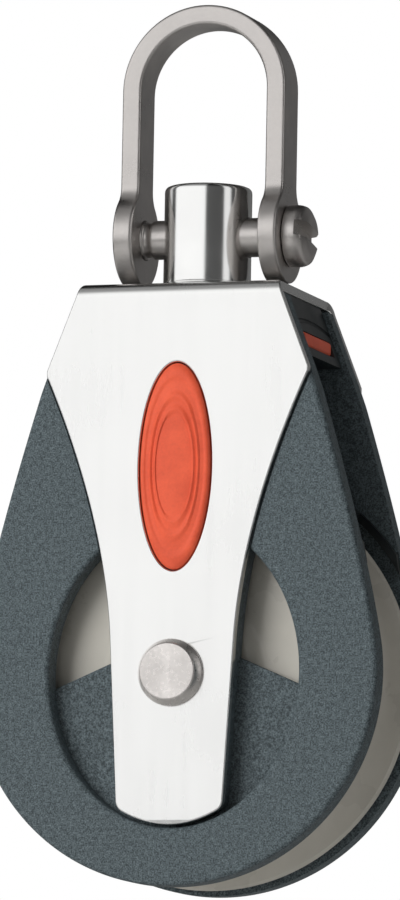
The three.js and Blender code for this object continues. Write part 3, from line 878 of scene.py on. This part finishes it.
class BLOCK_OT_head(bpy.types.Operator):
    """Dark moulding between the cheeks, with the lock's slot and the arch over the sheave"""

    bl_idname = "block.head"
    bl_label = "Head Block"

    def execute(self, context):
        low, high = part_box("head_block")
        head = plate("head_block_finish", [head_outline()], low.y, high.y, HEAD_EASE)
        throat = oval((0, AXLE.z), THROAT_RADIUS, THROAT_RADIUS, 160)
        head = carve(head, prism("throat", throat, low.y - MM, high.y + MM))
        head = carve(head, plate("arch", [arch_outline()], low.y, high.y), "UNION")
        for side in (-1, 1):
            head = carve(head, rope_gap(side))
        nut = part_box("swivel_nut")[1]
        head = drill(head, nut.x + NUT_GAP, AXLE.z + THROAT_RADIUS - MM, high.z + MM, "Z")
        base = AXLE.z + THROAT_RADIUS + ARCH_THICKNESS + RECESS_HEIGHT + SLOT_LIP
        mouth = eased(box_loop(-SLOT_HALF, SLOT_HALF, base, base + SLOT_HEIGHT), MOUTH_EASE)
        reach = high.x + MM
        head = carve(head, prism("slot", mouth, -reach, reach, "X"))
        for side in (-1, 1):
            head = carve(head, brow_tool(side))
        finish = material("dark_nylon", dark_nylon)
        finished(head, "block", "black_nylon", finish, "head_block")
        return {"FINISHED"}


KEY_FLATS = 8.4 * MM
KEY_GAP = 0.15 * MM
TRAVEL = 3.6 * MM
SLIDER_END_HALF = 7 * MM
SLIDER_BODY = 21.2 * MM
SLIDER_CORNER = 0.8 * MM
SLIDER_EASE = 0.55 * MM
KEYHOLE_CORNER = 0.3 * MM


class BLOCK_OT_lock(bpy.types.Operator):
    """Red sliding plate whose keyhole grips the square under the swivel nut"""

    bl_idname = "block.lock"
    bl_label = "Lock Slider"

    def execute(self, context):
        low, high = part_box("lock_slider")
        middle = TRAVEL / 2
        near, far = middle - SLIDER_BODY / 2, middle + SLIDER_BODY / 2
        end = SLIDER_END_HALF
        outline = [
            (low.x, -end), (near, -end), (near, low.y), (far, low.y), (far, -end), (high.x, -end),
            (high.x, end), (far, end), (far, high.y), (near, high.y), (near, end), (low.x, end),
        ]
        free = KEY_FLATS / math.sqrt(2) + KEY_GAP
        held = KEY_FLATS / 2 + KEY_GAP
        entry = math.degrees(math.asin(held / free))
        keyhole = arc((0, 0), free, free, entry, 360 - entry, 60)
        keyhole += [(TRAVEL + held, -held), (TRAVEL + held, held)]
        loops = [eased(outline, SLIDER_CORNER), eased(keyhole, KEYHOLE_CORNER)]
        slider = plate("lock_slider_finish", loops, -high.z, -low.z, SLIDER_EASE)
        slider.data.transform(Matrix.Rotation(-math.pi / 2, 4, "X"))
        finished(slider, "lock_slider", "red_plastic", red_finish(), "lock_slider")
        return {"FINISHED"}


# ---------------------------------------------------------------- badges

RAIL_SHARES = (0.55, 0.68)  # of the badge's size, for the two thin ovals raised on it
RAIL_HALF = 0.028
RAIL_BLUR = 0.03
RIM_DROP = 0.75 * MM  # rim below the top of the dome
RIM_ROUND = 0.35 * MM
RIM_TUCK = 0.018  # how far the rounding draws the rim in
DOME_RISE = 0.55 * MM
DOME_SHARE = 0.97  # of the badge's size, where the dome starts
BEAD_RISE = 0.16 * MM
BEAD_AT = 0.9
BEAD_HALF = 0.05
BEAD_BLUR = 0.04


def soft_step(value, edge, blur):
    t = min(1, max(0, (value - edge) / blur + 0.5))
    return t * t * (3 - 2 * t)


def badge_pattern(share):
    """Height, from 0 to 1, of two thin raised ovals, one inside the other."""
    return max(soft_step(RAIL_HALF - abs(share - rail), 0, RAIL_BLUR) for rail in RAIL_SHARES)


def make_badge(label, side):
    low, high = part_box("rear_badge")
    half_x, half_z = high.x, (high.z - low.z) / 2
    centre = (high.z + low.z) / 2
    relief = sizes().badge_relief
    rim = high.y - RIM_DROP
    side_top = rim - RIM_ROUND
    rings, steps = 40, 192
    levels = [(1.0, low.y), (1.0, side_top)]
    for i in (1, 2):
        levels.append((1 - RIM_TUCK * i * i / 4, side_top + RIM_ROUND * math.sin(i * math.pi / 8)))
    levels += [(DOME_SHARE * (1 - i / rings), None) for i in range(rings)]
    loops = []
    for share, depth in levels:
        loop = []
        for k in range(steps):
            turn = FULL_TURN * k / steps
            x, z = half_x * share * math.cos(turn), half_z * share * math.sin(turn)
            y = depth
            if y is None:
                dome = (1 - share * share) * DOME_RISE
                bead = BEAD_RISE * soft_step(BEAD_HALF - abs(share - BEAD_AT), 0, BEAD_BLUR)
                y = rim + dome + bead + relief * badge_pattern(share)
            loop.append((x, side * min(y, high.y), centre + z))
        loops.append(loop)
    badge = swept(f"{label}_badge_finish", loops)
    finished(badge, "block", "red_plastic", red_finish(), f"{label}_badge")


class BLOCK_OT_badges(bpy.types.Operator):
    """Domed ovals let into the strap, with two thin raised ovals on each"""

    bl_idname = "block.badges"
    bl_label = "Badges"

    def execute(self, context):
        for label, side in SIDES.items():
            make_badge(label, side)
        return {"FINISHED"}


# ---------------------------------------------------------------- axle and sheave

HEAD_LAND = 0.5 * MM  # straight part of the axle's head under its cone
SHANK_RADIUS = 3.5 * MM
FACE_RADIUS = 4.3 * MM
RIVET_RADIUS = 2.5 * MM
RIVET_GAP = 0.12 * MM
AXLE_EASE = 0.22 * MM


class BLOCK_OT_axle(bpy.types.Operator):
    """Axle with a coned head at the front and a matching riveted cap at the rear"""

    bl_idname = "block.axle"
    bl_label = "Axle"

    def execute(self, context):
        finish = material("turned_face", turned_face)
        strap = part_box("strap")[1].y
        axle_low, axle_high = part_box("axle")
        cap_low, cap_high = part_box("axle_cap")
        head_radius = axle_high.x
        profile = eased([
            (0, axle_low.y), (FACE_RADIUS, axle_low.y), (head_radius, -cap_low.y - HEAD_LAND),
            (head_radius, -cap_low.y), (SHANK_RADIUS, -cap_low.y), (SHANK_RADIUS, strap),
            (RIVET_RADIUS, strap), (RIVET_RADIUS, axle_high.y), (0, axle_high.y),
        ], AXLE_EASE, 4, closed=False)
        axle = turned("axle_finish", profile, centre=(0, 0, AXLE.z))
        finished(axle, "block", "satin_steel", finish, "axle")
        socket, socket_end = RIVET_RADIUS + RIVET_GAP, axle_high.y + RIVET_GAP
        profile = eased([
            (0, socket_end), (socket, socket_end), (socket, cap_low.y),
            (head_radius, cap_low.y), (head_radius, cap_low.y + HEAD_LAND),
            (FACE_RADIUS, cap_high.y), (0, cap_high.y),
        ], AXLE_EASE, 4, closed=False)
        cap = turned("axle_cap_finish", profile, centre=(0, 0, AXLE.z))
        finished(cap, "block", "satin_steel", finish, "axle_cap")
        return {"FINISHED"}


TRACK_RADIUS = 9.53 * MM
RIB_RADIUS = 7.43 * MM
RIB_HALF = 1.35 * MM
DISH_DEPTH = 0.8 * MM
DISH_OUTER = 2.6 * MM
DISH_RAMP = 2.2 * MM
HUB_LAND = 1.1 * MM
SHEAVE_EASE = 0.45 * MM
RIM_START = 0.35 * MM  # where the rim's rounding leaves the side


class BLOCK_OT_sheave(bpy.types.Operator):
    """Cream wheel with a round rope groove, dished sides and a ball track in its bore"""

    bl_idname = "block.sheave"
    bl_label = "Sheave"

    def execute(self, context):
        s = sizes()
        radius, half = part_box("sheave")[1].xy
        lip = half - s.flange_tip
        groove = (lip ** 2 + s.groove_depth ** 2) / (2 * s.groove_depth)
        centre = radius - s.groove_depth + groove
        turn = math.degrees(math.atan2(lip, centre - radius))
        dish_in, dish_out = TRACK_RADIUS + HUB_LAND, radius - DISH_OUTER
        side = [
            (TRACK_RADIUS, half), (dish_in, half), (dish_in + DISH_RAMP, half - DISH_DEPTH),
            (dish_out - DISH_RAMP, half - DISH_DEPTH), (dish_out, half), (radius, half),
        ]
        side = eased(side, SHEAVE_EASE, 5, closed=False)[:-1] + [(radius - RIM_START, half)]
        rim = bent(side[-1], (radius, half), (radius, half - SHEAVE_EASE), 5)
        root = arc((centre, 0), groove, groove, 180 - turn, 180 + turn, 48)
        back = [(r, -y) for r, y in reversed(side + rim)]
        bore = [
            (TRACK_RADIUS, -RIB_HALF), (RIB_RADIUS, -RIB_HALF), (RIB_RADIUS, RIB_HALF),
            (TRACK_RADIUS, RIB_HALF),
        ]
        profile = side + rim + root[1:-1] + back + bore
        sheave = turned("sheave_finish", profile, steps=160, centre=(0, 0, AXLE.z))
        finished(sheave, "sheave", "cream_acetal", cream_finish(), "sheave")
        return {"FINISHED"}


class BLOCK_OT_bearing(bpy.types.Operator):
    """Finishes of the hidden bearing, dowels and washers, whose frame nodes stay as they are"""

    bl_idname = "block.bearing"
    bl_label = "Bearing and Inner Parts"

    def execute(self, context):
        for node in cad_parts:
            if node.startswith("ball_") or node.endswith("_washer"):
                repaint(node, white_finish())
        for node in ("front_ball_retainer", "rear_ball_retainer"):
            repaint(node, cream_finish())
        for node in ("hub_sleeve", "cheek_dowel_left", "cheek_dowel_right", "swivel_nut"):
            repaint(node, steel_bar_finish())
        return {"FINISHED"}


# ---------------------------------------------------------------- swivel and shackle

NECK_RADIUS = 4 * MM
STUD_RADIUS = 3 * MM
POST_EASE = 0.9 * MM
PIN_BORE = 3.1 * MM


class BLOCK_OT_post(bpy.types.Operator):
    """Polished swivel post, cross-drilled for the shackle pin"""

    bl_idname = "block.post"
    bl_label = "Swivel Post"

    def execute(self, context):
        low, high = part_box("swivel_post")
        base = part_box("post_washer")[1].z + SEAT_GAP
        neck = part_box("swivel_nut")[1].z + SEAT_GAP
        profile = eased([
            (0, low.z), (STUD_RADIUS, low.z), (STUD_RADIUS, neck), (NECK_RADIUS, neck),
            (NECK_RADIUS, base), (high.x, base), (high.x, high.z), (0, high.z),
        ], POST_EASE, 5, closed=False)
        post = turned("swivel_post_finish", profile, "Z")
        post = drill(post, PIN_BORE, -high.x - MM, high.x + MM, "X", (0, 0, PIN.z))
        finish = material("turned_post", turned_post)
        finished(post, "swivel", "polished_steel", finish, "swivel_post")
        return {"FINISHED"}


BAR_HALF = 1.525 * MM
BAR_WIDTH_HALF = 3.5 * MM
EAR_RADIUS = 7.2 * MM
EAR_FILLET = 3.5 * MM
FILLET_FOOT = 0.79 * EAR_RADIUS  # height over the pin of the fillet's first station
FILLET_STEP = 0.35 * MM
FILLET_STATIONS = 14


def bar_half_width(height):
    """Half width of the shackle's bar at a height over the pin: a round ear, a fillet, the bar."""
    across = BAR_WIDTH_HALF + EAR_FILLET
    reach = math.sqrt((EAR_RADIUS + EAR_FILLET) ** 2 - across ** 2)
    touch = reach * EAR_RADIUS / (EAR_RADIUS + EAR_FILLET)
    if height <= touch:
        return math.sqrt(max(0, EAR_RADIUS ** 2 - height ** 2))
    if height < reach:
        return across - math.sqrt(EAR_FILLET ** 2 - (height - reach) ** 2)
    return BAR_WIDTH_HALF


def bow_path():
    """Stations of the right leg from the ear's foot to the crown: (x, z, lean, half width)."""
    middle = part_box("shackle_bow")[1].x - BAR_HALF
    spring = -PIN.z - (middle - BAR_HALF)
    heights = [-EAR_RADIUS * math.cos(math.radians(a)) for a in range(5, 90, 5)]
    heights += [EAR_RADIUS * i / 20 for i in range(16)]
    heights += [FILLET_FOOT + i * FILLET_STEP for i in range(FILLET_STATIONS)]
    heights += [heights[-1] + (spring - heights[-1]) * i / 6 for i in range(1, 7)]
    stations = [(middle, height, 0.0, bar_half_width(height)) for height in heights]
    for i in range(1, 25):
        turn = math.pi / 2 * i / 24
        place = (middle * math.cos(turn), spring + middle * math.sin(turn))
        stations.append((*place, -turn, BAR_WIDTH_HALF))
    return [(x, z + PIN.z, lean, half_width) for x, z, lean, half_width in stations]


def bar_ring(x, z, lean, half_width, mirror):
    """One rounded rectangular section of the bar, square to its path."""
    ease = min(sizes().bar_ease, 0.8 * half_width)
    corners = box_loop(-BAR_HALF, BAR_HALF, -half_width, half_width)
    ring = []
    for out, across in eased(corners, ease, 4):
        px = x + out * math.cos(lean)
        pz = z - out * math.sin(lean)
        ring.append((-px if mirror else px, across, pz))
    return ring


class BLOCK_OT_bow(bpy.types.Operator):
    """Shackle bow: a flat bar over the crown that widens into two round ears"""

    bl_idname = "block.bow"
    bl_label = "Shackle Bow"

    def execute(self, context):
        right = bow_path()
        rings = [bar_ring(*station, mirror=False) for station in right]
        for station in reversed(right[:-1]):
            # A mirrored section runs the other way about, so it is matched point to point.
            rings.append(self.matched(bar_ring(*station, mirror=True), rings[-1]))
        bow = swept("shackle_bow_finish", rings)
        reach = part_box("shackle_bow")[1].x + MM
        bow = drill(bow, PIN_BORE, -reach, reach, "X", (0, 0, PIN.z))
        finished(bow, "shackle", "satin_steel", steel_bar_finish(), "shackle_bow")
        return {"FINISHED"}

    @staticmethod
    def matched(ring, previous):
        count = len(ring)
        options = [[ring[(k + i) % count] for i in range(count)] for k in range(count)]
        options += [[ring[(k - i) % count] for i in range(count)] for k in range(count)]

        def gap(option):
            return sum((Vector(a) - Vector(b)).length for a, b in zip(option, previous))

        return min(options, key=gap)


SLOT_DEPTH = 1.7 * MM
SLOT_REACH = 6 * MM  # past both sides of the head
SLOT_TURN = math.radians(80)
RUNOUT_DEPTH = 0.35 * MM  # of the groove where the thread ends
RUNOUT_START = 0.3 * MM  # from the left ear's inner face
RUNOUT_FOOT = (0.5 * MM, 1.3 * MM)  # its flat floor
RUNOUT_END = 1.6 * MM
PIN_RADIUS = 3 * MM
PIN_EASE = 0.4 * MM
HEAD_SIDE = 1.9 * MM  # straight part of the head
HEAD_SHOULDER = (0.93, 2.9 * MM)  # share of the head's radius, and height over its seat
HEAD_FLAT = 0.62  # share of the head's radius


class BLOCK_OT_pin(bpy.types.Operator):
    """Screw pin with a domed, slotted head and a thread runout by the far ear"""

    bl_idname = "block.pin"
    bl_label = "Shackle Pin"

    def execute(self, context):
        low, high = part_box("shackle_pin")
        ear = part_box("shackle_bow")[1].x
        radius = PIN_RADIUS
        groove = radius - RUNOUT_DEPTH
        seat = ear + SEAT_GAP
        head = high.z - PIN.z
        inside = -ear + 2 * BAR_HALF
        profile = eased([
            (0, low.x), (radius, low.x), (radius, inside + RUNOUT_START),
            (groove, inside + RUNOUT_FOOT[0]), (groove, inside + RUNOUT_FOOT[1]),
            (radius, inside + RUNOUT_END), (radius, seat), (head, seat), (head, seat + HEAD_SIDE),
            (HEAD_SHOULDER[0] * head, seat + HEAD_SHOULDER[1]), (HEAD_FLAT * head, high.x),
            (0, high.x),
        ], PIN_EASE, 4, closed=False)
        pin = turned("shackle_pin_finish", profile, "X", centre=(0, 0, PIN.z))
        half = sizes().pin_slot / 2
        mouth = eased(box_loop(-half, half, -SLOT_REACH, SLOT_REACH), 0.2 * MM)
        slot = prism("slot", mouth, high.x - SLOT_DEPTH, high.x + MM, "X")
        slot.data.transform(Matrix.Rotation(SLOT_TURN, 4, "X"))
        slot.data.transform(Matrix.Translation((0, 0, PIN.z)))
        pin = carve(pin, slot)
        finished(pin, "shackle_pin", "satin_steel", steel_bar_finish(), "shackle_pin")
        return {"FINISHED"}


# ---------------------------------------------------------------- stage

AIM = Vector((4.83, -16.55, 33.29)) * MM  # from the axle


def add_camera(stage):
    back = Vector((
        math.sin(stage.azimuth) * math.cos(stage.elevation),
        -math.cos(stage.azimuth) * math.cos(stage.elevation),
        math.sin(stage.elevation),
    ))
    right = (-back).cross(Vector((0, 0, 1))).normalized()
    up = right.cross(-back)
    across = math.cos(stage.roll) * right + math.sin(stage.roll) * up
    upward = math.cos(stage.roll) * up - math.sin(stage.roll) * right
    place = AXLE + AIM + back * stage.distance
    data = bpy.data.cameras.new("camera")
    data.lens = stage.focal
    data.clip_start = 0.05
    camera = bpy.data.objects.new("camera", data)
    turn = Matrix((across, upward, back)).transposed().to_4x4()
    camera.matrix_world = Matrix.Translation(place) @ turn
    bpy.context.scene.collection.objects.link(camera)
    bpy.context.scene.camera = camera


def add_light(name, place, size, power):
    """A soft square light that faces the middle of the block."""
    data = bpy.data.lights.new(name, "AREA")
    data.size = size
    data.energy = power
    light = bpy.data.objects.new(name, data)
    light.visible_glossy = False
    place = Vector(place)
    aim = AXLE + Vector((0, 0, 0.03)) - place
    turn = aim.to_track_quat("-Z", "Y").to_matrix().to_4x4()
    light.matrix_world = Matrix.Translation(place) @ turn
    bpy.context.scene.collection.objects.link(light)


def add_floor(stage):
    work = bmesh.new()
    bmesh.ops.create_grid(work, x_segments=8, y_segments=8, size=6)
    mesh = bpy.data.meshes.new("floor")
    work.to_mesh(mesh)
    work.free()
    floor = mesh_object("floor", mesh)
    floor.location.z = CAD_BOUNDS[0].z - stage.floor_drop
    base = colours().floor
    finish = Finish("studio_floor", base, 0.0, 0.7)
    finish.colour(finish.noise(3, 3), shaded(base, 0.985), base, 0.3, 0.7)
    mesh.materials.append(finish.material)


# Brightness of the room round the block, by the turn in degrees from the front towards +X.
ROOM = (
    (-104, 0.03), (-100, 0.7), (-94, 0.7), (-91, 0.04), (-80, 0.05), (-76, 1.15), (8, 1.15),
    (14, 0.10), (58, 0.08), (62, 0.95), (77, 0.95), (82, 0.05), (180, 0.16),
)

DIFFUSE_SHARE = 0.42  # of the screens' brightness, on surfaces that don't mirror them
FADE_START = 0.45  # sine of the height, above or below level, where the screens start to fade
FADE_END = 0.75
FADED = 0.25  # what is left of them past that


def add_world():
    """A white room to the camera, and a studio of pale and dark screens to all that it lights."""
    world = bpy.data.worlds.new("studio")
    world.use_nodes = True
    tree = world.node_tree
    tree.nodes.clear()

    def node(kind, feeds=(), **settings):
        """Adds a node. Of its feeds, a socket is linked and anything else is set."""
        result = tree.nodes.new(kind)
        for name, value in settings.items():
            setattr(result, name, value)
        for at, feed in dict(feeds).items():
            if isinstance(feed, bpy.types.NodeSocket):
                tree.links.new(feed, result.inputs[at])
            else:
                result.inputs[at].default_value = feed
        return result

    place = node("ShaderNodeTexCoord").outputs["Generated"]
    axes = node("ShaderNodeSeparateXYZ", {0: place}).outputs
    forward = node("ShaderNodeMath", {0: axes["Y"], 1: -1}, operation="MULTIPLY")
    turn = node("ShaderNodeMath", {0: axes["X"], 1: forward.outputs[0]}, operation="ARCTAN2")
    share = node("ShaderNodeMapRange", {
        "From Min": -math.pi, "From Max": math.pi, "Value": turn.outputs[0]})
    screens = node("ShaderNodeValToRGB", {"Fac": share.outputs[0]})
    stops = screens.color_ramp.elements
    while len(stops) < len(ROOM):
        stops.new(1.0)
    for stop, (angle, level) in zip(stops, ROOM):
        stop.position = (angle + 180) / 360
        stop.color = (level, level, level, 1)
    path = node("ShaderNodeLightPath").outputs
    dimmed = node("ShaderNodeMath", {0: path["Is Diffuse Ray"], 1: DIFFUSE_SHARE - 1, 2: 1},
                  operation="MULTIPLY_ADD")
    height = node("ShaderNodeMath", {0: axes["Z"]}, operation="ABSOLUTE").outputs[0]
    fade = node("ShaderNodeMapRange", {
        "From Min": FADE_START, "From Max": FADE_END, "To Min": 1, "To Max": FADED, "Value": height})
    strength = node("ShaderNodeMath", {0: dimmed.outputs[0], 1: fade.outputs["Result"]},
                    operation="MULTIPLY")
    lit = node("ShaderNodeBackground", {
        "Color": screens.outputs["Color"], "Strength": strength.outputs[0]})
    seen = node("ShaderNodeBackground", {"Color": (1, 1, 1, 1)})
    mix = node("ShaderNodeMixShader", {
        "Fac": path["Is Camera Ray"], 1: lit.outputs["Background"], 2: seen.outputs["Background"]})
    node("ShaderNodeOutputWorld", {"Surface": mix.outputs["Shader"]})
    bpy.context.scene.world = world


class BLOCK_OT_stage(bpy.types.Operator):
    """Camera, pale floor, white room and soft lights"""

    bl_idname = "block.stage"
    bl_label = "Stage"

    def execute(self, context):
        stage = context.scene.block_stage
        add_camera(stage)
        add_floor(stage)
        add_world()
        add_light("key", (-0.55, -0.95, 0.25), 0.7, stage.key_power)
        add_light("fill", (0.9, -0.25, 0.0), 0.45, stage.fill_power)
        add_light("top", (0.0, 0.1, 0.75), 0.6, stage.top_power)
        context.scene.view_settings.view_transform = "Standard"
        return {"FINISHED"}


# ---------------------------------------------------------------- add-on

STEPS = (
    BLOCK_OT_stage, BLOCK_OT_strap, BLOCK_OT_cheeks, BLOCK_OT_head, BLOCK_OT_lock, BLOCK_OT_badges,
    BLOCK_OT_axle, BLOCK_OT_sheave, BLOCK_OT_bearing, BLOCK_OT_post, BLOCK_OT_bow, BLOCK_OT_pin,
)


class BLOCK_PT_panel(bpy.types.Panel):
    """Lists the pieces, their sizes and their colours"""

    bl_idname = "BLOCK_PT_panel"
    bl_label = "Rope Block"
    bl_space_type = "VIEW_3D"
    bl_region_type = "UI"
    bl_category = "Rope Block"

    def draw(self, context):
        for step in STEPS:
            self.layout.operator(step.bl_idname)
        for key in GROUPS:
            group = getattr(context.scene, key)
            box = self.layout.box()
            for name in group.__annotations__:
                box.prop(group, name)


GROUPS = {"block_sizes": BlockSizes, "block_colours": BlockColours, "block_stage": BlockStage}
CLASSES = (*GROUPS.values(), *STEPS, BLOCK_PT_panel)


def register():
    for item in CLASSES:
        bpy.utils.register_class(item)
    for key, group in GROUPS.items():
        setattr(bpy.types.Scene, key, PointerProperty(type=group))


def unregister():
    for key in GROUPS:
        delattr(bpy.types.Scene, key)
    for item in reversed(CLASSES):
        bpy.utils.unregister_class(item)


def main():
    register()
    for step in STEPS:
        getattr(bpy.ops.block, step.bl_idname.removeprefix("block."))()


if __name__ == "__main__":
    main()
